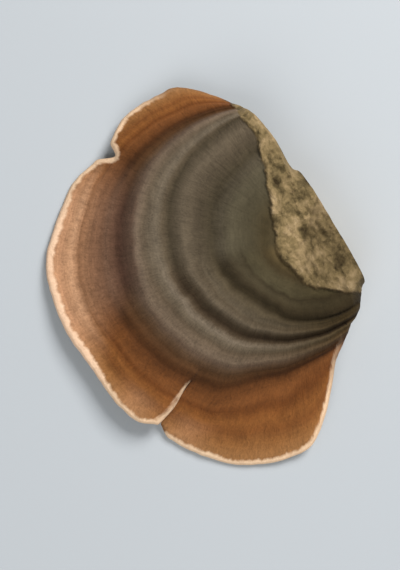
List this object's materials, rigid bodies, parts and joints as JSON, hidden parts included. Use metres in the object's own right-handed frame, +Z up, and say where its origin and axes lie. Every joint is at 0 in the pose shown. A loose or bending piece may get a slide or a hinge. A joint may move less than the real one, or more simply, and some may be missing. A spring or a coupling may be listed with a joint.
{
  "type": "turkey tail fungus bracket",
  "caption": "Dried turkey tail bracket: a thin ringed fan with a lobed margin, grown from a small knob with a flat cut.",
  "frame": {"origin": "middle of the underside of the bounding box, on the plane that the bracket lies on", "axes": "+X across the cap, +Y back towards the wood it grew on, so the cap grew towards -Y, and +Z up from the pore side"},
  "size_m": [0.0324, 0.0242, 0.0055],
  "materials": {
    "bracket": "dry and matt, with dark green-grey velvety rings, an orange-brown silky rim, a cream margin and cream pores below"
  },
  "bodies": {
    "root": {"bracket": "bracket"}
  },
  "joints": []
}
